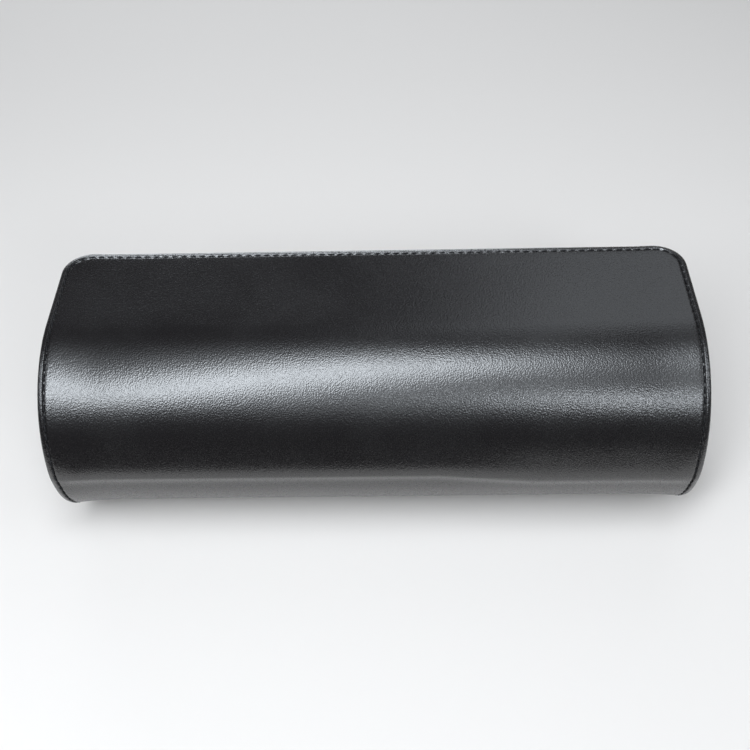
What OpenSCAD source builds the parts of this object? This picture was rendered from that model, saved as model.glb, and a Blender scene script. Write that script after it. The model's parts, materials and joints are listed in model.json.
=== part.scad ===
// Watch roll: a stiffened leather tube for three watches, with a folding lid and a closing flap.
// X runs along the roll, +Y points to the side that opens, +Z is up, and the roll stands on z = 0.
// The hinge side, on -Y, is the long round side that has no opening.

/* [Roll] */
// Length over the turned side edges
roll_length = 200; // [170:1:240]
// Outer radius of the round wrap
roll_radius = 34; // [32:0.5:40]
// Width of the flat that the roll's weight presses into the leather under it
base_width = 13; // [8:0.5:14]
// Height of the lid's fold above the roll's middle, as an angle
lid_fold_angle = 8; // [2:1:16]
// Inward lean of the rear wall
rear_lean = 10; // [6:1:14]

/* [Wrap layers] */
// Thickness of the outer leather
leather_thickness = 1.2; // [0.8:0.1:1.6]
// Thickness of the stiffening board
board_thickness = 1.6; // [1.2:0.1:2.2]
// Thickness of the suede lining
lining_thickness = 0.8; // [0.5:0.1:1.2]

/* [Edges] */
// Width of the turned edge, from the stitch groove to the outside
turned_edge = 2.2; // [1.8:0.1:3.5]
// Fillet on the turned edge
edge_round = 1.5; // [0.8:0.1:1.8]
// Radius of the groove that the stitches lie in
groove_radius = 0.4; // [0.2:0.05:0.6]
// Gap between the turned edge and the board and lining inside it
layer_gap = 0.1; // [0.05:0.05:0.4]
// Corner radius at the top of the rear wall
rear_corner_radius = 5; // [4:0.5:8]

/* [Flap] */
// Reach of the flap past the rear wall
flap_overhang = 3.4; // [2:0.2:6]
// Corner radius at the flap's free edge
flap_corner_radius = 10; // [5:0.5:15]
// Gap between the flap or lid and what they close on
closing_gap = 0.3; // [0.2:0.05:0.6]

/* [Ends and dividers] */
// Distance from the wrap's side edge to the end panel
end_inset = 2.5; // [1:0.25:5]
// Thickness of an end panel's board
end_board_thickness = 2; // [1.5:0.1:3]
// Thickness of the leather on an end panel
end_leather_thickness = 1; // [0.6:0.1:1.4]
// Thickness of a divider's board
divider_board_thickness = 2; // [1.5:0.1:3]
// Thickness of the suede round a divider
divider_suede_thickness = 0.7; // [0.4:0.1:1.2]
// Gap between a divider's top edge and the closed lid
divider_gap = 1; // [0.5:0.1:3]

/* [Cushions] */
// Gap between a cushion and the walls at its two ends
cushion_side_gap = 1.2; // [0.8:0.1:3]
// Depth of a cushion from front to rear
cushion_depth = 46; // [40:1:47]
// Height of a cushion
cushion_height = 38; // [32:1:39]
// Thickness of a cushion's suede cover
cushion_cover_thickness = 1; // [0.6:0.1:1.5]
// Gap under a cushion
cushion_seat_gap = 0.3; // [0.2:0.05:0.5]
// Size of a cushion's end face relative to its middle
cushion_end_scale = 0.8; // [0.65:0.01:0.9]
// Swell of a cushion's end face
cushion_end_crown = 1.6; // [0.5:0.1:3]
// Flattening of a cushion's underside where it rests
cushion_sag = 0.8; // [0.3:0.1:1.5]

/* [Closure magnets] */
// Length of a bar magnet
magnet_length = 30; // [16:1:40]
// Width of a bar magnet
magnet_width = 4; // [3:0.1:4.5]
// Distance between the middles of the two magnets of a pair
magnet_spacing = 104; // [60:1:120]
// Gap round a magnet in its window in the board
magnet_gap = 0.1; // [0.05:0.05:0.3]
// Distance from the turned edge to the magnet
magnet_inset = 0.6; // [0.4:0.1:1.5]

/* [Hidden] */
$fn = 180;

leather_colour = [0.075, 0.075, 0.085];
board_colour = [0.42, 0.4, 0.37];
suede_colour = [0.2, 0.2, 0.215];
foam_colour = [0.82, 0.8, 0.74];
magnet_colour = [0.62, 0.64, 0.66];

// Depths below the outer face of the wrap
board_depth = leather_thickness;
lining_depth = board_depth + board_thickness;
wrap_thickness = lining_depth + lining_thickness;
edge_fillet = min(edge_round, 0.45 * wrap_thickness, 0.9 * turned_edge);

// Sections are drawn about the roll's middle, and their angles run from +Y towards +Z.
// The case's own section is drawn in the rear wall's frame, where the wall runs along +Y
top_angle = 90;
fold_angle = 180 - lid_fold_angle;
case_end_angle = top_angle + 360 + rear_lean - fold_angle;
middle_height = sqrt(pow(roll_radius, 2) - pow(base_width / 2, 2));
inner_radius = roll_radius - wrap_thickness;

// The rear wall rises from its tangent point to just under the flap
rim_rise = inner_radius - closing_gap;
rear_wall_length = (rim_rise - roll_radius * sin(rear_lean)) / cos(rear_lean);
rim_reach = roll_radius * cos(rear_lean) - rear_wall_length * sin(rear_lean);
flap_length = rim_reach + flap_overhang;

// Places along the roll, from its middle outwards
half_length = roll_length / 2;
half_groove = half_length - turned_edge;
half_board = half_groove - layer_gap;
end_leather_place = half_length - end_inset - end_leather_thickness;
end_board_place = end_leather_place - end_board_thickness;
end_lining_place = end_board_place - lining_thickness;
divider_thickness = divider_board_thickness + 2 * divider_suede_thickness;
well_length = (2 * end_lining_place - 2 * divider_thickness) / 3;
well_pitch = well_length + divider_thickness;

// A cushion's form: stations along it, and points round each station
cushion_stations = 12;
cushion_round_points = 24;
cushion_squareness = 2.6;
cushion_fullness = 4;
cushion_length = well_length - 2 * cushion_side_gap;
cushion_seat_radius = inner_radius - cushion_seat_gap;
cushion_drop = cushion_seat_radius - cushion_height / 2;

// Stands a section drawn in Y and Z up, and gives it its place and length along X
module along_roll(from, length) {
    translate([from, 0, 0])
        rotate([90, 0, 90])
            linear_extrude(length)
                children();
}

// Turns a profile of radius and length round the X axis, between two angles
module round_roll(from, to) {
    rotate([0, 90, 0])
        rotate([0, 0, from + 90])
            rotate_extrude(angle = to - from)
                children();
}

// Sector between two angles, out to well past the wrap
module sector(from, to) {
    reach = 3 * roll_radius;
    steps = ceil((to - from) / 60);
    rim = [for (i = [0 : steps]) let (a = from + (to - from) * i / steps) reach * [cos(a), sin(a)]];
    polygon(concat([[0, 0]], rim));
}

// One layer of the wrap between two angles of the section
module wrap_section(depth, thickness, from, to) {
    intersection() {
        difference() {
            circle(r = roll_radius - depth);
            circle(r = roll_radius - depth - thickness);
        }
        sector(from, to);
    }
}

// Section of a plate across the roll: it meets the case, and clears the lid and flap by a gap
module plate_section(gap) {
    top = inner_radius - gap;
    intersection() {
        circle(r = inner_radius);
        sector(fold_angle, 360 + rear_lean);
    }
    intersection() {
        circle(r = top);
        sector(top_angle, fold_angle);
    }
    polygon([
        [0, 0],
        inner_radius * [cos(rear_lean), sin(rear_lean)],
        [(inner_radius - top * sin(rear_lean)) / cos(rear_lean), top],
        [0, top]
    ]);
}

// Turned edge: leather through the full thickness, with its outside rounded over
module edge_profile() {
    translate([0, -wrap_thickness])
        square([turned_edge - edge_fillet, wrap_thickness]);
    translate([0, edge_fillet - wrap_thickness])
        square([turned_edge, wrap_thickness - 2 * edge_fillet]);
    for (y = [-edge_fillet, edge_fillet - wrap_thickness])
        intersection() {
            translate([turned_edge - edge_fillet, y])
                circle(r = edge_fillet);
            translate([0, y - edge_fillet])
                square([turned_edge, 2 * edge_fillet]);
        }
}

// Leather from side edge to side edge, outer face on y = 0, with a stitch groove at each edge
module leather_profile() {
    difference() {
        union() {
            translate([-half_groove, -leather_thickness])
                square([2 * half_groove, leather_thickness]);
            for (side = [0, 1])
                mirror([side, 0])
                    translate([half_groove, 0])
                        edge_profile();
        }
        for (side = [-1, 1])
            translate([side * half_groove, 0])
                circle(r = groove_radius);
    }
}

// The same profile set at the roll's radius, ready to be turned
module leather_round_profile() {
    translate([roll_radius, 0])
        rotate(-90)
            leather_profile();
}

// Leather over the last stretch of a panel, out to its free edge
module free_edge_profile(stretch) {
    difference() {
        union() {
            translate([0, -leather_thickness])
                square([stretch - turned_edge, leather_thickness]);
            translate([stretch - turned_edge, 0])
                edge_profile();
        }
        translate([stretch - turned_edge, 0])
            circle(r = groove_radius);
    }
}

// Leather of a flat panel that runs along Y from a fold to a free edge with round corners,
// with its outer face on z = 0
module panel_leather(length, corner) {
    straight = length - corner;
    translate([0, straight, 0])
        rotate([90, 0, 0])
            linear_extrude(straight)
                leather_profile();
    translate([corner - half_length, straight, 0])
        rotate([90, 0, 90])
            linear_extrude(2 * (half_length - corner))
                free_edge_profile(corner);
    for (side = [0, 1])
        mirror([side, 0, 0])
            translate([half_length - corner, straight, 0])
                rotate_extrude(angle = 90)
                    free_edge_profile(corner);
}

// Plan of a panel inside its turned edge
module panel_plan(length, corner) {
    corner_x = half_length - corner;
    corner_y = length - corner;
    inner_corner = corner - turned_edge - layer_gap;
    translate([-half_board, 0])
        square([2 * half_board, corner_y]);
    translate([-corner_x, 0])
        square([2 * corner_x, corner_y + inner_corner]);
    for (side = [-1, 1])
        translate([side * corner_x, corner_y])
            circle(r = inner_corner);
}

// One inner layer of a flat panel
module panel_layer(length, corner, depth, thickness) {
    translate([0, 0, -depth - thickness])
        linear_extrude(thickness)
            panel_plan(length, corner);
}

// Bar magnet in a panel's board, near the free edge; room widens it to its window
module panel_magnet(length, side, room) {
    translate([
        side * magnet_spacing / 2,
        length - turned_edge - magnet_inset - magnet_width / 2,
        -board_depth - board_thickness / 2
    ])
        cube([magnet_length + 2 * room, magnet_width + 2 * room, board_thickness], center = true);
}

// Board of a flat panel with a window for each magnet
module panel_board(length, corner) {
    difference() {
        panel_layer(length, corner, board_depth, board_thickness);
        for (side = [-1, 1])
            panel_magnet(length, side, magnet_gap);
    }
}

// Moves what is drawn about the roll's middle to its place
module at_middle() {
    translate([0, 0, middle_height])
        children();
}

// Turns the case from the rear wall's frame, where the wall lies on top, to its place
module in_wall_frame() {
    at_middle()
        rotate([rear_lean - 90, 0, 0])
            rotate([0, 0, 180])
                children();
}

// Raises a flat panel to the outside of the roll
module on_roll() {
    translate([0, 0, roll_radius])
        children();
}

// Case: from the lid's fold under the roll to the rear wall. Its leather is pressed flat below
module case_leather() {
    color(leather_colour)
        difference() {
            in_wall_frame() {
                round_roll(top_angle, case_end_angle)
                    leather_round_profile();
                on_roll()
                    panel_leather(rear_wall_length, rear_corner_radius);
            }
            translate([-roll_length, -roll_radius, -roll_radius])
                cube([2 * roll_length, 2 * roll_radius, roll_radius]);
        }
}

module case_board() {
    color(board_colour)
        in_wall_frame() {
            along_roll(-half_board, 2 * half_board)
                wrap_section(board_depth, board_thickness, top_angle, case_end_angle);
            on_roll()
                panel_board(rear_wall_length, rear_corner_radius);
        }
}

module case_lining() {
    color(suede_colour)
        in_wall_frame() {
            along_roll(-half_board, 2 * half_board)
                wrap_section(lining_depth, lining_thickness, top_angle, case_end_angle);
            on_roll()
                panel_layer(rear_wall_length, rear_corner_radius, lining_depth, lining_thickness);
        }
}

module rim_magnet(side) {
    color(magnet_colour)
        in_wall_frame()
            on_roll()
                panel_magnet(rear_wall_length, -side, 0);
}

// Lid: the round stretch from the fold up to the top
module lid_leather() {
    color(leather_colour)
        at_middle()
            round_roll(top_angle, fold_angle)
                leather_round_profile();
}

module lid_board() {
    color(board_colour)
        at_middle()
            along_roll(-half_board, 2 * half_board)
                wrap_section(board_depth, board_thickness, top_angle, fold_angle);
}

module lid_lining() {
    color(suede_colour)
        at_middle()
            along_roll(-half_board, 2 * half_board)
                wrap_section(lining_depth, lining_thickness, top_angle, fold_angle);
}

// Flap: flat from the top to its free edge past the rear wall
module flap_leather() {
    color(leather_colour)
        at_middle()
            on_roll()
                panel_leather(flap_length, flap_corner_radius);
}

module flap_board() {
    color(board_colour)
        at_middle()
            on_roll()
                panel_board(flap_length, flap_corner_radius);
}

module flap_lining() {
    color(suede_colour)
        at_middle()
            on_roll()
                panel_layer(flap_length, flap_corner_radius, lining_depth, lining_thickness);
}

module flap_magnet(side) {
    color(magnet_colour)
        at_middle()
            on_roll()
                panel_magnet(flap_length, side, 0);
}

// End panels: a board between an outer leather and an inner lining
module end_layer(side, place, thickness, colour) {
    color(colour)
        mirror([side < 0 ? 1 : 0, 0, 0])
            at_middle()
                along_roll(place, thickness)
                    plate_section(closing_gap);
}

module end_leather(side) {
    end_layer(side, end_leather_place, end_leather_thickness, leather_colour);
}

module end_board(side) {
    end_layer(side, end_board_place, end_board_thickness, board_colour);
}

module end_lining(side) {
    end_layer(side, end_lining_place, lining_thickness, suede_colour);
}

// Dividers: a board in a suede sleeve that is open where the board meets the case
module divider_solid(side, thickness, gap) {
    at_middle()
        along_roll(side * well_pitch / 2 - thickness / 2, thickness)
            plate_section(gap);
}

module divider_board(side) {
    color(board_colour)
        divider_solid(side, divider_board_thickness, divider_gap + divider_suede_thickness);
}

module divider_suede(side) {
    color(suede_colour)
        difference() {
            divider_solid(side, divider_thickness, divider_gap);
            divider_solid(side, divider_board_thickness, divider_gap + divider_suede_thickness);
        }
}

// Half extent along one axis of the cushion's superellipse, at a direction's cosine or sine
function swell(part, half) = sign(part) * half * pow(abs(part), 2 / cushion_squareness);

// Height of the round seat under a cushion at a distance from its middle
function seat(y, inset) = cushion_drop - sqrt(pow(cushion_seat_radius - inset, 2) - pow(y, 2));

// Cushion form at a depth below its outer face. It is fullest in the middle, its ends draw in
// and their faces swell, and its underside follows the round seat
module cushion_form(inset) {
    n = cushion_round_points;
    half_end = cushion_length / 2 - cushion_end_crown - inset;
    half_depth = cushion_depth / 2 - inset;
    half_height = cushion_height / 2 - inset;
    taper_reach = half_end / pow(1 - pow(cushion_end_scale, cushion_fullness), 1 / cushion_fullness);
    rings = [
        for (i = [0 : cushion_stations], k = [0 : n - 1])
            let (
                x = half_end * sin(180 * i / cushion_stations - 90),
                scale = pow(1 - pow(abs(x) / taper_reach, cushion_fullness), 1 / cushion_fullness),
                a = 360 * k / n,
                sag = sin(a) < 0 ? cushion_sag : 0,
                y = scale * swell(cos(a), half_depth),
                z = scale * swell(sin(a), half_height + sag)
            )
            [x, y, max(z, seat(y, inset))]
    ];
    poles = [for (end = [-1, 1]) [end * (half_end + cushion_end_crown), 0, 0]];
    last = cushion_stations * n;
    sides = [
        for (i = [0 : cushion_stations - 1], k = [0 : n - 1], half = [0, 1])
            let (a = i * n + k, b = i * n + (k + 1) % n)
            half == 0 ? [a, b + n, b] : [a, a + n, b + n]
    ];
    ends = [
        for (k = [0 : n - 1], end = [0, 1])
            let (next = (k + 1) % n)
            end == 0 ? [last + n, k, next] : [last + n + 1, last + next, last + k]
    ];
    polyhedron(concat(rings, poles), concat(sides, ends));
}

module in_well(well) {
    at_middle()
        translate([well * well_pitch, 0, -cushion_drop])
            children();
}

module cushion_cover(well) {
    color(suede_colour)
        in_well(well)
            difference() {
                cushion_form(0);
                cushion_form(cushion_cover_thickness);
            }
}

module cushion_foam(well) {
    color(foam_colour)
        in_well(well)
            cushion_form(cushion_cover_thickness);
}

case_leather();
case_board();
case_lining();
end_leather(-1);  // left_end_leather
end_board(-1);  // left_end_board
end_lining(-1);  // left_end_lining
end_leather(1);  // right_end_leather
end_board(1);  // right_end_board
end_lining(1);  // right_end_lining
divider_board(-1);  // left_divider_board
divider_suede(-1);  // left_divider_suede
divider_board(1);  // right_divider_board
divider_suede(1);  // right_divider_suede
rim_magnet(-1);  // left_rim_magnet
rim_magnet(1);  // right_rim_magnet
lid_leather();
lid_board();
lid_lining();
flap_leather();
flap_board();
flap_lining();
flap_magnet(-1);  // left_flap_magnet
flap_magnet(1);  // right_flap_magnet
cushion_cover(-1);  // left_cushion_cover
cushion_foam(-1);  // left_cushion_foam
cushion_cover(0);  // middle_cushion_cover
cushion_foam(0);  // middle_cushion_foam
cushion_cover(1);  // right_cushion_cover
cushion_foam(1);  // right_cushion_foam
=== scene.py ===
# Watch roll in black pebbled leather: closed, lying on its round side, seen from the hinge side and above.
# Leather, lining and stitches are laid out flat like a maker's pattern and then rolled round the boards.

import json
import math
import random

import bmesh
import bpy
import numpy as np
from mathutils import Matrix, Vector


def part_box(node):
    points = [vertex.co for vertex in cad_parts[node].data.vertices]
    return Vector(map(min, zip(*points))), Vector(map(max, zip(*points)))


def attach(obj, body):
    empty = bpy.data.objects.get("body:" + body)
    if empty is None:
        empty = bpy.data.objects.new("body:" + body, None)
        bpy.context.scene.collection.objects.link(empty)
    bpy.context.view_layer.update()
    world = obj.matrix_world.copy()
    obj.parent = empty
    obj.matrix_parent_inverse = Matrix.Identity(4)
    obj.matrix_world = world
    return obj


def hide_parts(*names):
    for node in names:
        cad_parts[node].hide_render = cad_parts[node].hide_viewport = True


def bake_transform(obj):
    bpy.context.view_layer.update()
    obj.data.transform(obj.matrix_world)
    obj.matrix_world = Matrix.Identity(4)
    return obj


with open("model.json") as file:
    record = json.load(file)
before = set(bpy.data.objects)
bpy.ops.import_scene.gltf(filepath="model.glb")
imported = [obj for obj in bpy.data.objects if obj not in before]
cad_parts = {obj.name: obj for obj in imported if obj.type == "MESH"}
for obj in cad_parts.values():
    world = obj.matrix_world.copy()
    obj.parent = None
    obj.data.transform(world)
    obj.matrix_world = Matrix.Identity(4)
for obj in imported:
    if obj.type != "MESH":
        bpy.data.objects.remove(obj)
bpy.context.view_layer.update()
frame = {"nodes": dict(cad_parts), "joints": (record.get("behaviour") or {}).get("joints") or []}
mm = 0.001
print("frame loaded")


# Sizes of the roll, read from the frame

def readRoll():
    joints = {joint["name"]: Vector(joint["pos_m"]) for joint in frame["joints"] if "pos_m" in joint}
    fold, top = joints["lid_fold"], joints["flap_fold"]
    foldRise = math.pi / 2 - 2 * math.atan2(top.z - fold.z, -fold.y)
    flapLow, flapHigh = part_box("flap_leather")
    radius = -fold.y / math.cos(foldRise)
    return {
        "fold": fold,
        "top": top,
        "foldRise": foldRise,
        "radius": radius,
        "middle": top.z - radius,
        "half": flapHigh.x,
        "flapReach": flapHigh.y,
        "thickness": top.z - flapLow.z,
    }


roll = readRoll()
radius, middle, thickness = roll["radius"], roll["middle"], roll["thickness"]

# The flat pattern: x runs along the roll, y points from the lid to the flap's edge, z is the outer face
pattern = {
    "wallLean": math.radians(10),  # inward lean of the rear wall, as in the frame
    "closingGap": 0.3 * mm,  # rim of the rear wall to the closed flap
    "flapCorner": 10 * mm,
    "rimCorner": 5 * mm,
    "stitchInset": 2.2 * mm,  # stitch line to the outside edge
    "flapStitches": 60,
    "rimStitches": 62,
    "sideStitches": 69,
    "flapCornerStitches": 4,
    "rimCornerStitches": 2,
    "seamAngle": math.radians(41),  # where the lid's leather passes from one mesh to the next
}

arcTurn = math.pi / 2 * 3 + pattern["wallLean"]
arcLength = radius * arcTurn
wallRise = radius - thickness - pattern["closingGap"] - radius * math.sin(pattern["wallLean"])
wallLength = wallRise / math.cos(pattern["wallLean"])
flapY = roll["flapReach"]
rimY = -arcLength - wallLength
foldY = -radius * (math.pi / 2 - roll["foldRise"])
sideStart, sideEnd = rimY + pattern["rimCorner"], flapY - pattern["flapCorner"]
sidePitch = (sideEnd - sideStart) / pattern["sideStitches"]


def atHoles(y):
    # The nearest line straight across the sheet from one needle hole to another
    return sideStart + round((y - sideStart) / sidePitch) * sidePitch


baseY = atHoles(-radius * math.pi)
seamY = atHoles(-radius * pattern["seamAngle"])

# How the soft leather departs from a true roll, all in metres
drape = {
    "flareLeft": 1.3 * mm,
    "flareRight": 0.9 * mm,
    "flareReach": 18 * mm,
    "ridge": 1.15 * mm,  # the leather stands proud along the lid's fold
    "ridgeAtEnds": 0.3,  # share of it that is left at the ends of the roll
    "ridgeDrop": 2.4 * mm,
    "ridgeDropRight": 3.4 * mm,  # further down at the right end
    "ridgeDropFrom": 20 * mm,
    "ridgeDropOver": 30 * mm,
    "ridgeAbove": 6.5 * mm,
    "ridgeBelow": 2.6 * mm,
    "ridgeFade": 9 * mm,
    "floorSoft": 0.25 * mm,  # softness of the flat that the weight presses into the leather
    "swells": [  # along the roll, y in the pattern, reach along, reach across, height
        (-62 * mm, -24 * mm, 34 * mm, 12 * mm, 0.25 * mm),
        (30 * mm, -18 * mm, 40 * mm, 11 * mm, 0.25 * mm),
        (75 * mm, -30 * mm, 22 * mm, 10 * mm, 0.2 * mm),
        (-20 * mm, 16 * mm, 50 * mm, 12 * mm, -0.2 * mm),
        (62 * mm, 14 * mm, 22 * mm, 12 * mm, 0.15 * mm),
    ],
}


def swell(x, y):
    end = np.where(x < 0, drape["flareLeft"], drape["flareRight"])
    toEdge = np.clip((np.abs(x) - roll["half"]) / drape["flareReach"] + 1, 0, 1)
    rise = end * toEdge**2
    toRight = np.clip((x - drape["ridgeDropFrom"]) / drape["ridgeDropOver"], 0, 1)
    drop = drape["ridgeDrop"] + drape["ridgeDropRight"] * toRight
    above = y - foldY + drop
    reach = np.where(above > 0, drape["ridgeAbove"], drape["ridgeBelow"])
    fade = np.clip((roll["half"] - np.abs(x)) / drape["ridgeFade"], 0, 1)
    atEnds = drape["ridgeAtEnds"]
    height = drape["ridge"] * (atEnds + (1 - atEnds) * fade**2 * (3 - 2 * fade))
    rise = rise + height * np.exp(-((above / reach) ** 2))
    for placeX, placeY, reachX, reachY, height in drape["swells"]:
        rise = rise + height * np.exp(-(((x - placeX) / reachX) ** 2) - ((y - placeY) / reachY) ** 2)
    return rise


def rollUp(flat):
    # The swell is whole at the outer face and fades to nothing at the face of the lining
    x, y, z = np.array(flat, float).T
    z = z + swell(x, y) * np.clip(1 + z / thickness, 0, 1.1)
    angle = math.pi / 2 + np.clip(-y, 0, arcLength) / radius
    past = np.maximum(-y - arcLength, 0)
    acrossY = (radius + z) * np.cos(angle) + np.maximum(y, 0) - past * math.sin(pattern["wallLean"])
    up = middle + (radius + z) * np.sin(angle) + past * math.cos(pattern["wallLean"])
    up = 0.5 * (up + np.sqrt(up**2 + drape["floorSoft"] ** 2))
    return np.stack([x, acrossY, up], 1)


# Small helpers

def readPoints(piece):
    points = np.empty(len(piece.data.vertices) * 3)
    piece.data.vertices.foreach_get("co", points)
    return points.reshape(-1, 3)


def setPoints(piece, points):
    piece.data.vertices.foreach_set("co", np.asarray(points, float).ravel())
    piece.data.update()


def selectOnly(*pieces):
    bpy.ops.object.select_all(action="DESELECT")
    for piece in pieces:
        piece.select_set(True)
    bpy.context.view_layer.objects.active = pieces[0]


def keepVectors(piece, name, values):
    store = piece.data.attributes.get(name) or piece.data.attributes.new(name, "FLOAT_VECTOR", "POINT")
    store.data.foreach_set("vector", np.asarray(values, float).ravel())


def readVectors(piece, name):
    values = np.empty(len(piece.data.vertices) * 3)
    piece.data.attributes[name].data.foreach_get("vector", values)
    return values.reshape(-1, 3)


def applyModifiers(piece):
    selectOnly(piece)
    for modifier in list(piece.modifiers):
        bpy.ops.object.modifier_apply(modifier=modifier.name)


# Shader node helpers

def addNode(tree, kind, values=None, **settings):
    node = tree.nodes.new(kind)
    for key, value in settings.items():
        setattr(node, key, value)
    for key, value in (values or {}).items():
        node.inputs[key].default_value = value
    return node


def newGroup(name, inputs, outputs):
    tree = bpy.data.node_groups.new(name, "ShaderNodeTree")
    for label, kind, default in inputs:
        socket = tree.interface.new_socket(name=label, in_out="INPUT", socket_type=kind)
        if default is not None:
            socket.default_value = default
    for label, kind in outputs:
        tree.interface.new_socket(name=label, in_out="OUTPUT", socket_type=kind)
    return tree, tree.nodes.new("NodeGroupInput"), tree.nodes.new("NodeGroupOutput")


def newMaterial(name, **settings):
    material = bpy.data.materials.new(name)
    material.use_nodes = True
    shader = material.node_tree.nodes["Principled BSDF"]
    for key, value in settings.items():
        shader.inputs[key].default_value = value
    return material, material.node_tree, shader


def addMath(tree, operation, first, second, clamp=False):
    node = addNode(tree, "ShaderNodeMath", operation=operation, use_clamp=clamp)
    for index, value in enumerate((first, second)):
        if isinstance(value, (int, float)):
            node.inputs[index].default_value = value
        else:
            tree.links.new(value, node.inputs[index])
    return node.outputs[0]


def spread(tree, value, low, high, toLow=0.0, toHigh=1.0):
    node = addNode(tree, "ShaderNodeMapRange", {
        "From Min": low, "From Max": high, "To Min": toLow, "To Max": toHigh})
    tree.links.new(value, node.inputs["Value"])
    return node.outputs["Result"]


def mixColours(tree, factor, first, second):
    node = addNode(tree, "ShaderNodeMix", data_type="RGBA")
    for socket, value in ((node.inputs[6], first), (node.inputs[7], second)):
        if isinstance(value, tuple):
            socket.default_value = (*value, 1)
        else:
            tree.links.new(value, socket)
    tree.links.new(factor, node.inputs[0])
    return node.outputs[2]


def addNoise(tree, place, scale, detail=3.0, roughness=0.5, distortion=0.0):
    node = addNode(tree, "ShaderNodeTexNoise", {
        "Scale": scale, "Detail": detail, "Roughness": roughness, "Distortion": distortion})
    tree.links.new(place, node.inputs["Vector"])
    return node.outputs["Fac"]


# Shared effects

grain = {
    "wobbleScale": 900.0,
    "wobble": 0.3 * mm,  # how far the rows of pebbles wander
    "smoothness": 0.35,
    "finerTimes": 1.6,  # the fine grain against the pebbles
}
nap = {"fibres": 6500.0, "clumps": 900.0, "strokes": 55.0}


def makePebbleGroup():
    tree, source, result = newGroup(
        "pebbleGrain",
        [("Place", "NodeSocketVector", None), ("Pebbles per metre", "NodeSocketFloat", 2300.0),
         ("Fine share", "NodeSocketFloat", 0.3)],
        [("Height", "NodeSocketFloat"), ("Valley", "NodeSocketFloat")],
    )
    place = source.outputs["Place"]
    wobble = addNode(tree, "ShaderNodeTexNoise", {"Scale": grain["wobbleScale"], "Detail": 2.0})
    tree.links.new(place, wobble.inputs["Vector"])
    shift = addNode(tree, "ShaderNodeVectorMath", operation="MULTIPLY_ADD")
    shift.inputs[1].default_value = (grain["wobble"],) * 3
    tree.links.new(wobble.outputs["Color"], shift.inputs[0])
    tree.links.new(place, shift.inputs[2])
    cells = addNode(tree, "ShaderNodeTexVoronoi", {"Smoothness": grain["smoothness"], "Randomness": 1.0},
                    feature="SMOOTH_F1")
    pebbles = source.outputs["Pebbles per metre"]
    tree.links.new(shift.outputs[0], cells.inputs["Vector"])
    tree.links.new(pebbles, cells.inputs["Scale"])
    pebble = spread(tree, cells.outputs["Distance"], 0.1, 0.75, 1.0, 0.0)
    finer = addNode(tree, "ShaderNodeTexNoise", {"Detail": 3.0, "Roughness": 0.6})
    tree.links.new(place, finer.inputs["Vector"])
    tree.links.new(addMath(tree, "MULTIPLY", pebbles, grain["finerTimes"]), finer.inputs["Scale"])
    fine = addMath(tree, "MULTIPLY", finer.outputs["Fac"], source.outputs["Fine share"])
    tree.links.new(addMath(tree, "ADD", pebble, fine), result.inputs["Height"])
    tree.links.new(spread(tree, cells.outputs["Distance"], 0.45, 0.8), result.inputs["Valley"])
    return tree


def makeNapGroup():
    tree, source, result = newGroup(
        "suedeNap",
        [("Place", "NodeSocketVector", None), ("Brushed sheen", "NodeSocketFloat", 0.5)],
        [("Height", "NodeSocketFloat"), ("Painted sheen", "NodeSocketFloat")],
    )
    place = source.outputs["Place"]
    fibres = addNoise(tree, place, nap["fibres"], 4.0, 0.75)
    clumps = addNoise(tree, place, nap["clumps"], 3.0, 0.6)
    strokes = addNoise(tree, place, nap["strokes"], 2.0, 0.5, 0.6)
    rise = addMath(tree, "ADD", fibres, addMath(tree, "MULTIPLY", clumps, 0.6))
    tree.links.new(rise, result.inputs["Height"])
    # Painted sheen: the brushed strokes and the clumps of the nap give a share by which the suede's colour
    # is lightened, standing in for light caught by the nap
    stroke = addMath(tree, "MULTIPLY", spread(tree, strokes, 0.35, 0.65), source.outputs["Brushed sheen"])
    shade = addMath(tree, "ADD", stroke, addMath(tree, "MULTIPLY", clumps, 0.5), clamp=True)
    tree.links.new(shade, result.inputs["Painted sheen"])
    return tree


pebbleGrain = makePebbleGroup()
suedeNap = makeNapGroup()


def addGroup(tree, group, place, values=None):
    node = addNode(tree, "ShaderNodeGroup", node_tree=group)
    tree.links.new(place, node.inputs["Place"])
    for key, value in (values or {}).items():
        node.inputs[key].default_value = value
    return node


def addBump(tree, shader, height, strength, distance):
    bump = addNode(tree, "ShaderNodeBump", {"Strength": strength, "Distance": distance})
    tree.links.new(height, bump.inputs["Height"])
    tree.links.new(bump.outputs["Normal"], shader.inputs["Normal"])
    return bump


# Leather finish

leatherLook = {
    "colour": (0.0076, 0.0067, 0.0071),
    "wornColour": (0.0135, 0.0127, 0.0132),
    "roughLow": 0.24,
    "roughHigh": 0.31,
    "specular": 1.0,
    "grainDepth": 0.045 * mm,
    "grainStrength": 0.7,
    "pebblesPerMetre": 2100.0,
    "cloudsPerMetre": 28.0,  # patches that were rubbed more or less
    "rubbed": 0.6,
}


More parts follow.
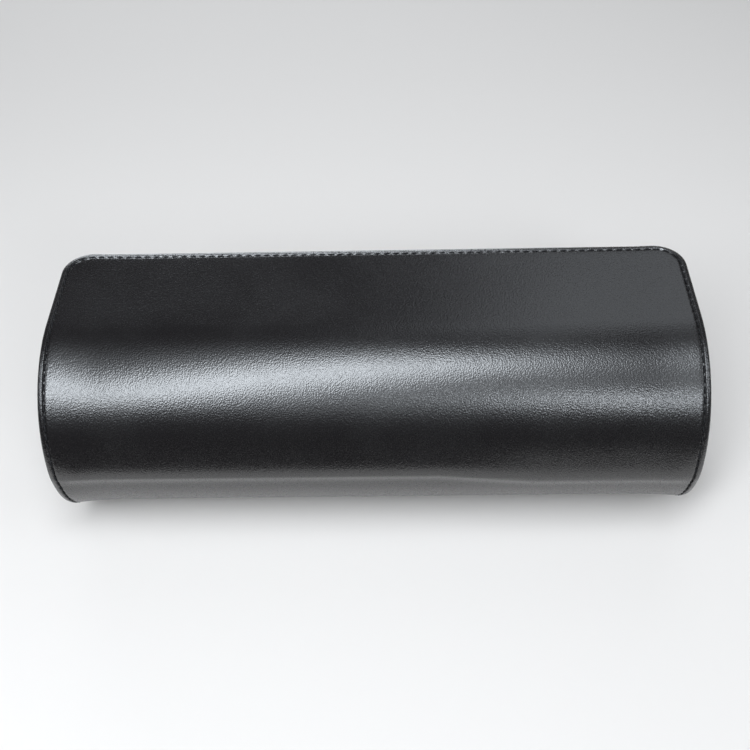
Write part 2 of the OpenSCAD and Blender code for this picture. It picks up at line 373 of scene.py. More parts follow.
def makeLeather(name, flatPlace):
    # The rolled leather's grain follows the flat sheet, the end panels' follows the object
    look = leatherLook
    material, tree, shader = newMaterial(name, **{"Specular IOR Level": look["specular"]})
    if flatPlace:
        place = addNode(tree, "ShaderNodeAttribute", attribute_name="flatPlace").outputs["Vector"]
    else:
        place = addNode(tree, "ShaderNodeTexCoord").outputs["Object"]
    pebbles = addGroup(tree, pebbleGrain, place, {"Pebbles per metre": look["pebblesPerMetre"]})
    addBump(tree, shader, pebbles.outputs["Height"], look["grainStrength"], look["grainDepth"])
    cloud = addNoise(tree, place, look["cloudsPerMetre"], 4.0, 0.55, 0.4)
    rubbed = addMath(tree, "MULTIPLY", spread(tree, cloud, 0.45, 0.75), look["rubbed"])
    colour = mixColours(tree, rubbed, look["colour"], look["wornColour"])
    tree.links.new(colour, shader.inputs["Base Color"])
    shine = addMath(tree, "ADD", addMath(tree, "MULTIPLY", cloud, 0.7),
                    addMath(tree, "MULTIPLY", pebbles.outputs["Valley"], 0.3))
    roughness = spread(tree, shine, 0.25, 0.75, look["roughLow"], look["roughHigh"])
    tree.links.new(roughness, shader.inputs["Roughness"])
    return material


def makeSuede(name, colour, paintedSheenColour, brushedSheen):
    material, tree, shader = newMaterial(name, **{
        "Roughness": 0.92, "Specular IOR Level": 0.2, "Sheen Weight": 0.35, "Sheen Roughness": 0.45})
    place = addNode(tree, "ShaderNodeTexCoord").outputs["Object"]
    pile = addGroup(tree, suedeNap, place, {"Brushed sheen": brushedSheen})
    addBump(tree, shader, pile.outputs["Height"], 0.6, 0.06 * mm)
    # The suede's colour is mixed towards a lighter painted sheen colour where the nap's strokes and clumps
    # are
    tree.links.new(mixColours(tree, pile.outputs["Painted sheen"], colour, paintedSheenColour), shader.inputs["Base Color"])
    return material


def makeThread():
    material, tree, shader = newMaterial("waxedThread", **{"Roughness": 0.62, "Specular IOR Level": 0.3})
    twist = addNode(tree, "ShaderNodeAttribute", attribute_name="threadPlace")
    wave = addNode(tree, "ShaderNodeTexWave", {"Scale": 1.0, "Distortion": 0.0}, bands_direction="X")
    tree.links.new(twist.outputs["Vector"], wave.inputs["Vector"])
    addBump(tree, shader, wave.outputs["Fac"], 0.7, 0.04 * mm)
    tree.links.new(mixColours(tree, wave.outputs["Fac"], (0.004, 0.004, 0.0045), (0.014, 0.014, 0.016)),
                   shader.inputs["Base Color"])
    return material


def makeBoard():
    material, tree, shader = newMaterial("greyBoard", **{"Roughness": 0.9})
    place = addNode(tree, "ShaderNodeTexCoord").outputs["Object"]
    fibres = addNoise(tree, place, 1500.0, 5.0, 0.7)
    tree.links.new(mixColours(tree, fibres, (0.28, 0.26, 0.23), (0.42, 0.39, 0.34)),
                   shader.inputs["Base Color"])
    addBump(tree, shader, fibres, 0.4, 0.05 * mm)
    return material


def makeEdgePaint():
    material, tree, shader = newMaterial("blackEdgePaint", **{"Specular IOR Level": 0.6})
    place = addNode(tree, "ShaderNodeTexCoord").outputs["Object"]
    streaks = addNoise(tree, place, 700.0, 4.0, 0.6)
    tree.links.new(mixColours(tree, streaks, (0.01, 0.01, 0.011), (0.022, 0.022, 0.024)),
                   shader.inputs["Base Color"])
    tree.links.new(spread(tree, streaks, 0.3, 0.7, 0.38, 0.55), shader.inputs["Roughness"])
    addBump(tree, shader, streaks, 0.4, 0.05 * mm)
    return material


def makeFoam():
    material, tree, shader = newMaterial("openFoam", **{"Roughness": 0.95})
    place = addNode(tree, "ShaderNodeTexCoord").outputs["Object"]
    cells = addNode(tree, "ShaderNodeTexVoronoi", {"Scale": 1600.0})
    tree.links.new(place, cells.inputs["Vector"])
    # The cells are darker at their middles, where the bump sinks them into pores: painted shade in the
    # pores
    tree.links.new(mixColours(tree, cells.outputs["Distance"], (0.6, 0.57, 0.48), (0.8, 0.78, 0.7)),
                   shader.inputs["Base Color"])
    addBump(tree, shader, cells.outputs["Distance"], 0.6, 0.2 * mm)
    return material


def makeMagnet():
    material, tree, shader = newMaterial("nickelPlate", **{
        "Metallic": 1.0, "Base Color": (0.55, 0.56, 0.58, 1)})
    place = addNode(tree, "ShaderNodeTexCoord").outputs["Object"]
    brushedSheen = addNode(tree, "ShaderNodeMapping", {"Scale": (300.0, 6000.0, 6000.0)})
    tree.links.new(place, brushedSheen.inputs["Vector"])
    lines = addNoise(tree, brushedSheen.outputs["Vector"], 1.0, 3.0, 0.6)
    tree.links.new(spread(tree, lines, 0.3, 0.7, 0.25, 0.45), shader.inputs["Roughness"])
    addBump(tree, shader, lines, 0.2, 0.01 * mm)
    return material


rollLeather = makeLeather("pebbledLeather", True)
endLeather = makeLeather("pebbledEndLeather", False)
# Each suede has its colour, a lighter painted sheen colour, and the strength of the painted sheen along its
# brushed strokes
liningSuede = makeSuede("liningSuede", (0.045, 0.046, 0.05), (0.1, 0.102, 0.11), 0.5)
cushionSuede = makeSuede("cushionSuede", (0.05, 0.051, 0.056), (0.115, 0.117, 0.126), 0.6)
thread = makeThread()
print("materials made")


# Flat pattern sheets

def stitchedRuns():
    # Cells of the flat grid: two for each stitch along every run and round every corner
    p = pattern
    columns = 2 * p["flapStitches"] + 2 * p["flapCornerStitches"]
    rows = p["flapCornerStitches"] + 2 * p["sideStitches"] + p["rimCornerStitches"]
    return columns, rows


def gridPlaces(columns, rows, inset):
    p = pattern
    cell = np.array([(i, j) for j in range(rows + 1) for i in range(columns + 1)])
    flapR, rimR = p["flapCorner"] - inset, p["rimCorner"] - inset
    flapN, rimN = p["flapCornerStitches"], p["rimCornerStitches"]
    reach = roll["half"] - inset
    i, j = cell[:, 0], rows - cell[:, 1]  # j counts from the flap's edge
    edgeX = {}
    for key, cornerR, cornerN in (("flap", flapR, flapN), ("rim", rimR, rimN)):
        stops = [0, cornerN, columns - cornerN, columns]
        edgeX[key] = np.interp(i, stops, [-reach, cornerR - reach, reach - cornerR, reach])
    stops = [0, flapN, rows - rimN, rows]
    y = np.interp(j, stops, [flapY - inset, flapY - inset - flapR, rimY + inset + rimR, rimY + inset])
    share = np.clip((j - flapN) / (rows - rimN - flapN), 0, 1)
    x = edgeX["flap"] * (1 - share) + edgeX["rim"] * share
    for atEnd, cornerR, cornerN, centreY, side in (
        (j < flapN, flapR, flapN, flapY - inset - flapR, 1),
        (j > rows - rimN, rimR, rimN, rimY + inset + rimR, -1),
    ):
        centreX = reach - cornerR
        corner = atEnd & ((i < cornerN) | (i > columns - cornerN))
        a = np.clip((np.abs(x) - centreX) / cornerR, 0, 1)
        b = np.clip((y - centreY) * side / cornerR, 0, 1)
        x = np.where(corner, np.sign(x) * (centreX + cornerR * a * np.sqrt(1 - b**2 / 2)), x)
        y = np.where(corner, centreY + side * cornerR * b * np.sqrt(1 - a**2 / 2), y)
    return np.stack([x, y, np.zeros_like(x)], 1)


def edgePlace(point, inset):
    # A boundary point of the flat sheet, moved to another distance from the outside edge. It also gives
    # how far along its stitch the point lies, from 0 at a hole to 1 at the next
    p = pattern
    x, y = point.x, point.y
    atFlap = y > (flapY + rimY) / 2
    corner = p["flapCorner"] if atFlap else p["rimCorner"]
    count = p["flapCornerStitches"] if atFlap else p["rimCornerStitches"]
    centreX = roll["half"] - corner
    centreY = flapY - corner if atFlap else rimY + corner
    away = 1 if atFlap else -1
    dx, dy = abs(x) - centreX, (y - centreY) * away
    tiny = 1e-7
    if dx > tiny and dy > tiny:
        turn = math.atan2(dy, dx)
        step = math.pi / 4 / (2 * count)
        turn = round(turn / step) * step
        phase = turn / (math.pi / 2) * count
        x = math.copysign(centreX + (corner - inset) * math.cos(turn), x)
        y = centreY + away * (corner - inset) * math.sin(turn)
    elif dx > tiny:
        x = math.copysign(roll["half"] - inset, x)
        phase = (y - sideStart) / sidePitch
    else:
        y = flapY - inset if atFlap else rimY + inset
        phase = (x + centreX) / (2 * centreX) * (p["flapStitches"] if atFlap else p["rimStitches"])
    return x, y, phase % 1


# Extra cuts across the sheet at both folds
foldCuts = {
    "foldStep": 0.45 * mm,
    "foldStart": 0.11 * mm,
    "foldSteps": range(-10, 11),
    "topStep": 0.6 * mm,
    "topStart": 0.07 * mm,
    "topSteps": range(-6, 9),
}


def bendLines():
    c = foldCuts
    atFold = [foldY + step * c["foldStep"] + c["foldStart"] for step in c["foldSteps"]]
    return atFold + [step * c["topStep"] + c["topStart"] for step in c["topSteps"]]


def cutSheet(name, inset, startHeight, rings, wall, wallSide):
    columns, rows = stitchedRuns()
    bpy.ops.object.select_all(action="DESELECT")
    bpy.ops.mesh.primitive_grid_add(x_subdivisions=columns, y_subdivisions=rows, size=2)
    sheet = bpy.context.object
    sheet.name = name
    places = gridPlaces(columns, rows, inset)
    places[:, 2] = startHeight
    now = readPoints(sheet)
    order = np.lexsort((np.round(now[:, 0], 5), np.round(now[:, 1], 5)))
    placed = np.empty_like(now)
    placed[order] = places
    setPoints(sheet, placed)
    selectOnly(sheet)
    bpy.ops.object.mode_set(mode="EDIT")
    bpy.ops.mesh.select_mode(type="EDGE")
    for number, (ringInset, height, pucker) in enumerate(rings):
        bpy.ops.mesh.select_all(action="SELECT")
        bpy.ops.mesh.region_to_loop()
        bpy.ops.mesh.extrude_edges_move()
        if number == 0:
            bpy.ops.mesh.subdivide(number_cuts=1)
        shape = bmesh.from_edit_mesh(sheet.data)
        for vertex in shape.verts:
            if vertex.select:
                x, y, phase = edgePlace(vertex.co, ringInset)
                hole = max(0.0, math.cos(2 * math.pi * phase))
                vertex.co = (x, y, height + pucker * hole)
        bmesh.update_edit_mesh(sheet.data)
    for cut in bendLines():
        bpy.ops.mesh.select_all(action="SELECT")
        bpy.ops.mesh.bisect(plane_co=(0, cut, 0), plane_no=(0, 1, 0), threshold=1e-6)
    bpy.ops.object.mode_set(mode="OBJECT")
    solid = sheet.modifiers.new("wall", "SOLIDIFY")
    solid.thickness = wall
    solid.offset = wallSide
    applyModifiers(sheet)
    return sheet


def splitSheet(sheet, names):
    # Cuts a rolled sheet on the lid and under the roll, and keeps the whole sheet's smooth normals
    bpy.ops.object.select_all(action="DESELECT")
    normals = np.empty(len(sheet.data.vertices) * 3)
    sheet.data.vertices.foreach_get("normal", normals)
    keepVectors(sheet, "wholeNormal", normals)
    pieces = []
    for name, low in ((names[0], seamY), (names[1], baseY)):
        flat = readVectors(sheet, "flatPlace")
        selectOnly(sheet)
        bpy.ops.object.mode_set(mode="EDIT")
        bpy.ops.mesh.select_mode(type="FACE")
        bpy.ops.mesh.select_all(action="DESELECT")
        shape = bmesh.from_edit_mesh(sheet.data)
        shape.faces.ensure_lookup_table()
        for face in shape.faces:
            middleY = sum(flat[v.index][1] for v in face.verts) / len(face.verts)
            face.select = bool(middleY > low)
        bmesh.update_edit_mesh(sheet.data)
        bpy.ops.mesh.separate(type="SELECTED")
        bpy.ops.object.mode_set(mode="OBJECT")
        piece = next(other for other in bpy.context.selected_objects if other != sheet)
        piece.name = name
        pieces.append(piece)
    sheet.name = names[2]
    pieces.append(sheet)
    for piece in pieces:
        selectOnly(piece)
        bpy.ops.object.mode_set(mode="EDIT")
        bpy.ops.mesh.select_all(action="SELECT")
        bpy.ops.mesh.fill_holes(sides=0)
        bpy.ops.object.mode_set(mode="OBJECT")
        piece.data.normals_split_custom_set_from_vertices(readVectors(piece, "wholeNormal"))
        piece.data.attributes.remove(piece.data.attributes["wholeNormal"])
    return pieces


def rollSheet(sheet):
    flat = readPoints(sheet)
    keepVectors(sheet, "flatPlace", flat)
    setPoints(sheet, rollUp(flat))
    selectOnly(sheet)
    bpy.ops.object.shade_smooth()


def bendOverFold(piece):
    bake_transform(piece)


def bendOverTop(piece):
    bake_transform(piece)


def seatStrips(pieces):
    bendOverTop(pieces[0])
    bendOverFold(pieces[1])
    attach(pieces[2], "case")


# Outer leather: the turned edge is drawn as rings outwards from the flat, each with its distance from
# the outside edge, its height, and how much deeper it is at a needle hole
leatherCut = {
    "gridInset": 3.3 * mm,
    "wall": 1.05 * mm,
    "rings": [
        (2.85 * mm, -0.02 * mm, -0.02 * mm),
        (2.58 * mm, -0.09 * mm, -0.08 * mm),
        (2.38 * mm, -0.21 * mm, -0.20 * mm),
        (2.20 * mm, -0.29 * mm, -0.36 * mm),
        (2.02 * mm, -0.21 * mm, -0.20 * mm),
        (1.86 * mm, -0.06 * mm, -0.05 * mm),
        (1.70 * mm, 0.05 * mm, 0.0),
        (1.42 * mm, -0.02 * mm, 0.0),
        (1.08 * mm, -0.115 * mm, 0.0),
        (0.74 * mm, -0.22 * mm, 0.0),
        (0.44 * mm, -0.37 * mm, 0.0),
        (0.22 * mm, -0.74 * mm, 0.0),
        (0.06 * mm, -1.24 * mm, 0.0),
        (0.00 * mm, -1.80 * mm, 0.0),
        (0.06 * mm, -2.36 * mm, 0.0),
        (0.24 * mm, -2.88 * mm, 0.0),
        (0.52 * mm, -3.26 * mm, 0.0),
        (0.90 * mm, -3.50 * mm, 0.0),
        (1.40 * mm, -3.58 * mm, 0.0),
        (2.25 * mm, -3.58 * mm, 0.0),
    ],
}

leather = cutSheet("rollLeather", leatherCut["gridInset"], 0, leatherCut["rings"], leatherCut["wall"], -1)
rollSheet(leather)
leather.data.materials.append(rollLeather)
leatherStrips = splitSheet(leather, ["flapCover", "lidCover", "caseCover"])
seatStrips(leatherStrips)
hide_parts("flap_leather", "lid_leather")
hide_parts("lid_leather", "case_leather")
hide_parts("case_leather")
print("outer leather rolled:", sum(len(strip.data.polygons) for strip in leatherStrips), "faces")


# Lining: suede glued down inside, its edge held by the same stitch line
liningCut = {
    "gridInset": 3.3 * mm,
    "wall": 0.6 * mm,
    "face": -3.6 * mm,
    "rings": [
        (2.75 * mm, -3.60 * mm, 0.0),
        (2.45 * mm, -3.56 * mm, 0.08 * mm),
        (2.20 * mm, -3.52 * mm, 0.22 * mm),
        (1.98 * mm, -3.58 * mm, 0.08 * mm),
        (1.80 * mm, -3.66 * mm, 0.0),
        (1.62 * mm, -3.68 * mm, 0.0),
        (1.50 * mm, -3.62 * mm, 0.0),
    ],
}


def makeLining():
    lining = cutSheet("liningSheet", liningCut["gridInset"], liningCut["face"], liningCut["rings"],
                      liningCut["wall"], 1)
    selectOnly(lining)
    bpy.ops.object.mode_set(mode="EDIT")
    bpy.ops.mesh.select_all(action="SELECT")
    bpy.ops.mesh.normals_make_consistent(inside=False)
    bpy.ops.object.mode_set(mode="OBJECT")
    rollSheet(lining)
    lining.data.materials.append(liningSuede)
    strips = splitSheet(lining, ["flapLining", "lidLining", "caseLining"])
    seatStrips(strips)
    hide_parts("flap_lining", "lid_lining")
    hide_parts("lid_lining", "case_lining")
    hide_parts("case_lining")


makeLining()
print("lining glued in")


# Stitches

stitch = {
    "threadRadius": 0.25 * mm,
    "gap": 0.45 * mm,  # between the ends of two stitches, over a needle hole
    "slant": math.radians(7),
    "middleHeight": -0.12 * mm,
    "endHeight": -0.52 * mm,
    "flatness": 0.9,
    "twists": 1.6,
    "liningDrop": 0.02 * mm,  # the inner row lies this far out of the lining
    "turnSpread": 0.04,  # how unlike each other hand-sewn stitches are
    "lengthSpread": (0.97, 1.02),
    "heightSpread": 0.02,  # in mm
}


def stitchPlaces():
    # Middle of each stitch on the flat pattern, the way it runs, and its length
    p = pattern
    inset = p["stitchInset"]
    reach = roll["half"] - inset
    places = []
    for edgeY, corner, away, count, turns in (
        (flapY - inset, p["flapCorner"] - inset, 1, p["flapStitches"], p["flapCornerStitches"]),
        (rimY + inset, p["rimCorner"] - inset, -1, p["rimStitches"], p["rimCornerStitches"]),
    ):
        run = 2 * (reach - corner)
        for k in range(count):
            places.append((-run / 2 + run * (k + 0.5) / count, edgeY, 0.0, run / count))
        for side in (-1, 1):
            for k in range(turns):
                turn = math.pi / 2 * (k + 0.5) / turns
                x = side * (reach - corner + corner * math.cos(turn))
                y = edgeY - away * corner * (1 - math.sin(turn))
                direction = math.atan2(away * math.cos(turn), -side * math.sin(turn))
                places.append((x, y, direction, math.pi / 2 * corner / turns))
    for side in (-1, 1):
        for k in range(p["sideStitches"]):
            places.append((side * reach, sideStart + sidePitch * (k + 0.5), math.pi / 2, sidePitch))
    return places


def makeOneStitch():
    bpy.ops.object.select_all(action="DESELECT")
    bpy.ops.mesh.primitive_uv_sphere_add(segments=8, ring_count=8, radius=1, rotation=(0, math.pi / 2, 0))
    one = bpy.context.object
    bpy.ops.object.transform_apply(location=True, rotation=True, scale=True)
    ball = readPoints(one)
    share = np.arcsin(np.clip(ball[:, 0], -1, 1)) / (math.pi / 2)
    around = np.arctan2(ball[:, 2], ball[:, 1])
    full = np.sqrt(np.clip(1 - np.abs(share) ** 5, 0, 1))
    thick = stitch["threadRadius"] * full
    lift = stitch["middleHeight"] + (stitch["endHeight"] - stitch["middleHeight"]) * np.abs(share) ** 3
    up = thick * np.sin(around) * stitch["flatness"] + lift
    setPoints(one, np.stack([share, thick * np.cos(around), up], 1))
    twist = share * stitch["twists"] + around / (2 * math.pi)
    keepVectors(one, "threadPlace", np.stack([twist, around * 0, around * 0], 1))
    return one


def sewAround(inner):
    one = makeOneStitch()
    points = readPoints(one)
    lines = {"flap": [], "lid": [], "case": []}
    chance = random.Random(7 if inner else 3)
    for x, y, direction, pitch in stitchPlaces():
        copy = bpy.data.objects.new("stitch", one.data.copy())
        bpy.context.scene.collection.objects.link(copy)
        turn = direction + stitch["slant"] + chance.uniform(-stitch["turnSpread"], stitch["turnSpread"])
        length = (pitch - stitch["gap"]) / 2 * chance.uniform(*stitch["lengthSpread"])
        local = points * (length, 1, 1)
        if inner:
            local = local * (1, 1, -1) - (0, 0, thickness + stitch["liningDrop"])
        flat = np.stack([
            x + local[:, 0] * math.cos(turn) - local[:, 1] * math.sin(turn),
            y + local[:, 0] * math.sin(turn) + local[:, 1] * math.cos(turn),
            local[:, 2] + chance.uniform(-stitch["heightSpread"], stitch["heightSpread"]) * mm,
        ], 1)
        setPoints(copy, rollUp(flat))
        lines["flap" if y > seamY else "lid" if y > baseY else "case"].append(copy)
    bpy.data.objects.remove(one)
    made = []
    for part in ("flap", "lid", "case"):
        selectOnly(*lines[part])
        bpy.ops.object.join()
        line = bpy.context.object
        line.name = part + ("LiningStitches" if inner else "Stitches")
        bpy.ops.object.mode_set(mode="EDIT")
        bpy.ops.mesh.select_all(action="SELECT")
        bpy.ops.mesh.normals_make_consistent(inside=False)
        bpy.ops.object.mode_set(mode="OBJECT")
        bpy.ops.object.shade_smooth()
        line.data.materials.append(thread)
        made.append(line)
    seatStrips(made)


sewAround(False)
sewAround(True)
print("stitches sewn")


# Plates across the roll

plateCut = {"arcPoints": 100, "wallPoints": 16, "topPoints": 16}


def plateOutline(gap, place, inset, share):
    # Section of the roll's inside from the lid's top round to the leaning wall and back along the top,
    # drawn in by an inset and then shrunk to a share of its size
    inside = radius - thickness
    lean = pattern["wallLean"]
    top = inside - gap
    foldTurn = math.pi - roll["foldRise"]
    points = []
    for k in range(plateCut["arcPoints"]):
        turn = math.pi / 2 + (math.pi * 1.5 + lean) * k / plateCut["arcPoints"]
        reach = (top if turn < foldTurn else inside) - inset
        points.append((reach * math.cos(turn), reach * math.sin(turn)))
    foot = (inside * math.sin(lean), top - inset)
    for k in range(plateCut["wallPoints"]):
        up = foot[0] + (foot[1] - foot[0]) * k / plateCut["wallPoints"]
        points.append(((inside - inset - up * math.sin(lean)) / math.cos(lean), up))
    corner = (inside - inset - foot[1] * math.sin(lean)) / math.cos(lean)
    for k in range(plateCut["topPoints"]):
        points.append((corner * (1 - k / plateCut["topPoints"]), foot[1]))
    return [Vector((place, y * share, z * share + middle)) for y, z in points]


def makePlate(name, gap, layers):
    # Closed plate built up along X: each layer has its place, its inset and its share of the full size
    before = plateOutline(gap, *layers[0])
    bpy.ops.object.select_all(action="DESELECT")
    bpy.ops.mesh.primitive_circle_add(vertices=len(before), radius=1, fill_type="NGON")
    plate = bpy.context.object
    plate.name = name
    setPoints(plate, before)
    selectOnly(plate)
    bpy.ops.object.mode_set(mode="EDIT")
    bpy.ops.mesh.select_mode(type="FACE")
    bpy.ops.mesh.select_all(action="SELECT")
    for layer in layers[1:]:
        after = plateOutline(gap, *layer)
        bpy.ops.mesh.extrude_region_move()
        shape = bmesh.from_edit_mesh(plate.data)
        for vertex in next(face for face in shape.faces if face.select).verts:
            nearest = min(range(len(before)), key=lambda k: (before[k] - vertex.co).length_squared)
            vertex.co = after[nearest]
        bmesh.update_edit_mesh(plate.data)
        before = after
    bpy.ops.mesh.select_all(action="SELECT")
    bpy.ops.mesh.normals_make_consistent(inside=False)
    bpy.ops.object.mode_set(mode="OBJECT")
    selectOnly(plate)
    bpy.ops.object.shade_smooth_by_angle(angle=math.radians(40))
    return plate


endPanel = {
    "round": 0.55 * mm,
    "crown": 0.35 * mm,
    "edgeInset": 0.1 * mm,
    "faceInset": 0.85 * mm,
    "faceShares": (0.93, 0.84, 0.72, 0.58, 0.42, 0.25, 0.1),
}


def makeEndPanel(side):
    name = "left" if side < 0 else "right"
    low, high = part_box(name + "_end_leather")
    back, face = (high.x, low.x) if side < 0 else (low.x, high.x)
    soft, edge, inset = endPanel["round"], endPanel["edgeInset"], endPanel["faceInset"]
    layers = [
        (back, edge, 1),
        (face - side * soft, edge, 1),
        (face - side * soft * 0.45, 0.2 * mm, 1),
        (face - side * soft * 0.12, 0.45 * mm, 1),
        (face, inset, 1),
    ]
    for share in endPanel["faceShares"]:
        layers.append((face + side * endPanel["crown"] * (1 - share**3), inset, share))
    panel = makePlate(name + "EndPanel", pattern["closingGap"], layers)
    panel.data.materials.append(endLeather)
    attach(panel, "case")
    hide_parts(name + "_end_leather")


divider = {
    "gap": 1.0 * mm,
    "round": 1.1 * mm,
    "roundSteps": ((0.25, 0.385 * mm), (0.75, 0.05 * mm)),  # share of the round inwards, and the inset
    "faceShare": 0.5,
}


def makeDivider(side):
    name = "left" if side < 0 else "right"
    low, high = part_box(name + "_divider_suede")
    soft, share = divider["round"], divider["faceShare"]
    layers = [(low.x, soft, share), (low.x, soft, 1)]
    for step, inset in divider["roundSteps"]:
        layers.append((low.x + soft * step, inset, 1))
    for step, inset in reversed(divider["roundSteps"]):
        layers.append((high.x - soft * step, inset, 1))
    layers += [(high.x, soft, 1), (high.x, soft, share)]
    sleeve = makePlate(name + "DividerSleeve", divider["gap"], layers)
    sleeve.data.materials.append(liningSuede)
    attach(sleeve, "case")
    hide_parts(name + "_divider_suede")


for side in (-1, 1):
    makeEndPanel(side)
    makeDivider(side)
print("plates covered")


# Cushions

cushion = {
    "skin": 1.0 * mm,  # suede over the foam
    "voxel": 1.7 * mm,
    "simScale": 20.0,  # the cloth solver works better on something larger
    "pressure": 6.0,
    "steps": 18,
    "cap": 1.3 * mm,
    "seamInset": 1.6 * mm,
    "seamWidth": 1.3 * mm,
    "seamDraw": 0.45 * mm,
    "endFace": 0.93,  # faces that look along the roll this squarely have no seam
    "deepest": 0.25 * mm,  # how far a wrinkle may sink into the foam's side
    "shrink": -0.035,
}


def fillCushion(cover, start, normals, atSeam):
    # A short cloth simulation under pressure, at a larger scale, held at the seams
    scale, steps = cushion["simScale"], cushion["steps"]
    setPoints(cover, start * scale)
    held = cover.vertex_groups.new(name="held")
    for index in np.nonzero(atSeam > 0.5)[0]:
        held.add([int(index)], 1.0, "REPLACE")
    cloth = cover.modifiers.new("cloth", "CLOTH")
    settings = cloth.settings
    settings.quality = 5
    settings.mass = 0.3
    settings.tension_stiffness = 12
    settings.compression_stiffness = 6
    settings.bending_stiffness = 0.6
    settings.use_pressure = True
    settings.uniform_pressure_force = cushion["pressure"]
    settings.vertex_group_mass = "held"
    settings.shrink_min = cushion["shrink"]
    settings.effector_weights.gravity = 0
    cloth.collision_settings.use_collision = False
    cloth.point_cache.frame_start, cloth.point_cache.frame_end = 1, steps
    for step in range(1, steps + 1):
        bpy.context.scene.frame_set(step)
    applyModifiers(cover)
    cover.vertex_groups.clear()
    bpy.context.scene.frame_set(1)
    moved = readPoints(cover) / scale - start
    length = np.linalg.norm(moved, axis=1)[:, None]
    moved *= np.minimum(1, cushion["cap"] / np.maximum(length, 1e-9))
    sunk = np.minimum((moved * normals).sum(1) + cushion["deepest"], 0)
    moved -= normals * sunk[:, None]
    setPoints(cover, start + moved)


def makeCushion(name):
    source = frame["nodes"][name + "_cushion_foam"]
    low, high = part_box(name + "_cushion_foam")
    centre = (low + high) / 2
    bpy.ops.object.select_all(action="DESELECT")
    cover = source.copy()
    cover.data = source.data.copy()
    for key in list(cover.keys()):
        del cover[key]
    bpy.context.scene.collection.objects.link(cover)
    cover.parent = None
    cover.name = name + "CushionCover"
    cover.data.materials.clear()
    selectOnly(cover)
    bpy.ops.object.mode_set(mode="EDIT")
    bpy.ops.mesh.select_all(action="SELECT")
    bpy.ops.mesh.remove_doubles(threshold=1e-5)
    bpy.ops.object.mode_set(mode="OBJECT")
    bpy.ops.object.shade_smooth()
    setPoints(cover, readPoints(cover) - np.array(centre))
    remesh = cover.modifiers.new("even", "REMESH")
    remesh.mode = "VOXEL"
    remesh.voxel_size = cushion["voxel"]
    smooth = cover.modifiers.new("ease", "SMOOTH")
    smooth.iterations = 1
    applyModifiers(cover)
    start = readPoints(cover)
    seamX = (high.x - low.x) / 2 - cushion["seamInset"]
    normals = np.empty(len(start) * 3)
    cover.data.vertices.foreach_get("normal", normals)
    normals = normals.reshape(-1, 3)
    atSeam = np.exp(-(((np.abs(start[:, 0]) - seamX) / cushion["seamWidth"]) ** 2))
    atSeam = atSeam * (np.abs(normals[:, 0]) < cushion["endFace"])
    start = start + normals * (cushion["skin"] - cushion["seamDraw"] * atSeam)[:, None]
    setPoints(cover, start)
    fillCushion(cover, start, normals, atSeam)
    fine = cover.modifiers.new("fine", "SUBSURF")
    fine.levels = fine.render_levels = 1
    applyModifiers(cover)
    setPoints(cover, readPoints(cover) + np.array(centre))
    bpy.ops.object.shade_smooth()
    cover.data.materials.append(cushionSuede)
    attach(cover, name + "_cushion")
    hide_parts(name + "_cushion_cover")
    print(cover.name, len(cover.data.polygons), "faces")


for name in ("left", "middle", "right"):
    makeCushion(name)


# Frame nodes that stay: boards, foam, magnets and the end linings

def finishFrameNodes():
    board, paintedBoard, foam, magnet = makeBoard(), makeEdgePaint(), makeFoam(), makeMagnet()
    for name, node in frame["nodes"].items():
        finish = None
        if name.endswith("_end_board"):
            finish = paintedBoard  # its edge shows when the lid is open
        elif name.endswith("_board"):
            finish = board
        elif name.endswith("_foam"):
            finish = foam
        elif name.endswith("_magnet"):
            finish = magnet
        elif name.endswith("_end_lining"):
            finish = liningSuede
        if finish:
            node.data.materials.clear()
            node.data.materials.append(finish)


finishFrameNodes()


# Camera: it looks down at the lid from the hinge side

camera = {
    "lens": 48.0,
    "tilt": math.radians(37.58),  # the view's lean back from straight down
    "distance": 329.8 * mm,
    "across": 7.1 * mm,
    "rise": -13.6 * mm,
    "yaw": math.radians(-1.20),
    "pitch": math.radians(-3.36),
    "roll": math.radians(0.67),
}


def placeCamera():
    tilt = camera["tilt"]
    upWay = Vector((0, math.cos(tilt), math.sin(tilt)))
    outWay = Vector((0, -math.sin(tilt), math.cos(tilt)))
    basis = Matrix((Vector((1, 0, 0)), upWay, outWay)).transposed()
    turn = (Matrix.Rotation(camera["roll"], 3, "Z") @ Matrix.Rotation(camera["pitch"], 3, "X")
            @ Matrix.Rotation(camera["yaw"], 3, "Y"))
    place = Vector((0, 0, middle)) + basis @ Vector((camera["across"], camera["rise"], camera["distance"]))
    data = bpy.data.cameras.new("camera")
    data.lens = camera["lens"]
    data.clip_start, data.clip_end = 0.01, 50
    view = bpy.data.objects.new("camera", data)
    bpy.context.scene.collection.objects.link(view)
    view.matrix_world = Matrix.Translation(place) @ (basis @ turn.transposed()).to_4x4()
    bpy.context.scene.camera = view
    return place


cameraPlace = placeCamera()


# Lamps: each is set where its glow falls on the leather, given by the place along the roll and the
# section's angle from the rear over the top

lamps = {
    "longGlow": {
        "start": (-104 * mm, 134), "end": (30 * mm, 113), "distance": 0.62, "height": 0.16, "glare": 11.7},
    "wideGlow": {
        "start": (-104 * mm, 121), "end": (104 * mm, 126), "distance": 0.75, "height": 0.92, "glare": 0.8},
    "rightGlow": {
        "start": (52 * mm, 134.5), "end": (104 * mm, 136), "distance": 0.62, "height": 0.11, "glare": 13.2},
    "leftEdgeGlow": {
        "start": (-250 * mm, 122), "end": (-190 * mm, 122), "distance": 0.62, "height": 0.5, "glare": 4.7},
    "rightEdgeGlow": {
        "start": (190 * mm, 122), "end": (250 * mm, 122), "distance": 0.62, "height": 0.5, "glare": 4.7},
}
lampColour = (0.88, 0.94, 1.0)


def mirrored(x, degrees, distance):
    turn = math.radians(degrees)
    normal = Vector((0, math.cos(turn), math.sin(turn)))
    point = Vector((x, radius * normal.y, middle + radius * normal.z))
    sight = (cameraPlace - point).normalized()
    return point + (2 * normal.dot(sight) * normal - sight) * distance


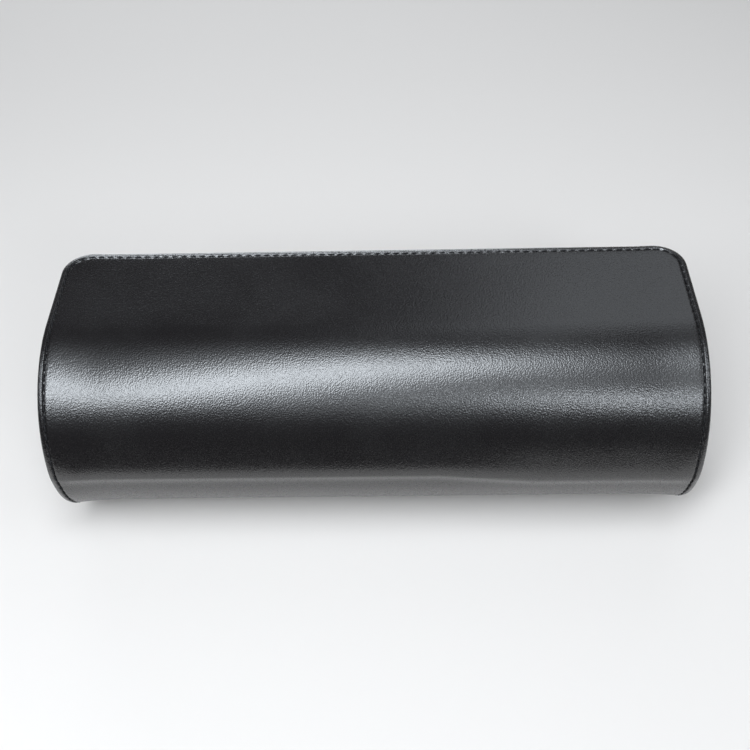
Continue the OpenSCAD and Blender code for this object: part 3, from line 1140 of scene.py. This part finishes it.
def panelLamp(name, width, height, glare):
    data = bpy.data.lights.new(name, "AREA")
    data.shape = "RECTANGLE"
    data.size, data.size_y = width, height
    data.color = lampColour
    data.energy = glare * math.pi * width * height
    lamp = bpy.data.objects.new(name, data)
    bpy.context.scene.collection.objects.link(lamp)
    return lamp


def addLamp(name, start, end, distance, height, glare):
    left, right = mirrored(*start, distance), mirrored(*end, distance)
    centre = (left + right) / 2
    along = (right - left).normalized()
    toRoll = (Vector((0, 0, middle)) - centre).normalized()
    across = toRoll.cross(along).normalized()
    facing = along.cross(across)
    lamp = panelLamp(name, (right - left).length, height, glare)
    turn = Matrix((along, across, facing)).transposed()
    lamp.matrix_world = Matrix.Translation(centre) @ turn.to_4x4()
    if (turn @ Vector((0, 0, -1))).dot(toRoll) < 0:
        lamp.matrix_world = lamp.matrix_world @ Matrix.Rotation(math.pi, 4, "X")


for name, lamp in lamps.items():
    addLamp(name, **lamp)

# Behind the roll: a faint glow on the flap, and a bright line on its rounded edge
backLamps = {
    "backGlow": {"place": (0.20, 0.40, 0.54), "width": 0.27, "height": 0.38, "glare": 0.95},
    "edgeGlow": {"place": (-0.17, 0.80, 0.22), "width": 0.6, "height": 0.15, "glare": 7.2},
}
lampTarget = Vector((0, 0, 0.06))  # just under the flap


def addBackLamp(name, place, width, height, glare):
    lamp = panelLamp(name, width, height, glare)
    lamp.location = place
    lamp.rotation_euler = (Vector(place) - lampTarget).to_track_quat("Z", "Y").to_euler()


for name, lamp in backLamps.items():
    addBackLamp(name, **lamp)


# Room: a dim studio with a pale wall low behind the roll, and a sheet of paper that ends just in
# front of the picture

room = {
    "air": (0.04, 0.04, 0.042),
    "wall": (0.5, 0.5, 0.5),
    "wallSide": (-0.15, 0.35),  # it fades in as a view turns to the rear
    "wallTop": (0.1, 0.35),  # and out as the view rises
    "floor": (0.77, 0.73, 0.695),
    "floorSize": 4.0,
    "floorFront": -0.125,
}


def makeRoom():
    world = bpy.data.worlds.new("room")
    world.use_nodes = True
    bpy.context.scene.world = world
    tree = world.node_tree
    parts = addNode(tree, "ShaderNodeSeparateXYZ")
    tree.links.new(addNode(tree, "ShaderNodeTexCoord").outputs["Generated"], parts.inputs[0])
    behind = spread(tree, parts.outputs["Y"], *room["wallSide"])
    low = spread(tree, parts.outputs["Z"], *room["wallTop"], 1.0, 0.0)
    wall = mixColours(tree, addMath(tree, "MULTIPLY", behind, low), room["air"], room["wall"])
    tree.links.new(wall, tree.nodes["Background"].inputs["Color"])
    bpy.ops.object.select_all(action="DESELECT")
    middleY = room["floorFront"] + room["floorSize"] / 2
    bpy.ops.mesh.primitive_plane_add(size=room["floorSize"], location=(0, middleY, 0))
    floor = bpy.context.object
    floor.name = "floor"
    material, tree, shader = newMaterial("paperFloor", **{"Roughness": 0.9, "Specular IOR Level": 0.1})
    shader.inputs["Base Color"].default_value = (*room["floor"], 1)
    floor.data.materials.append(material)


makeRoom()
bpy.context.scene.view_settings.view_transform = "Standard"
print("room and lamps set")
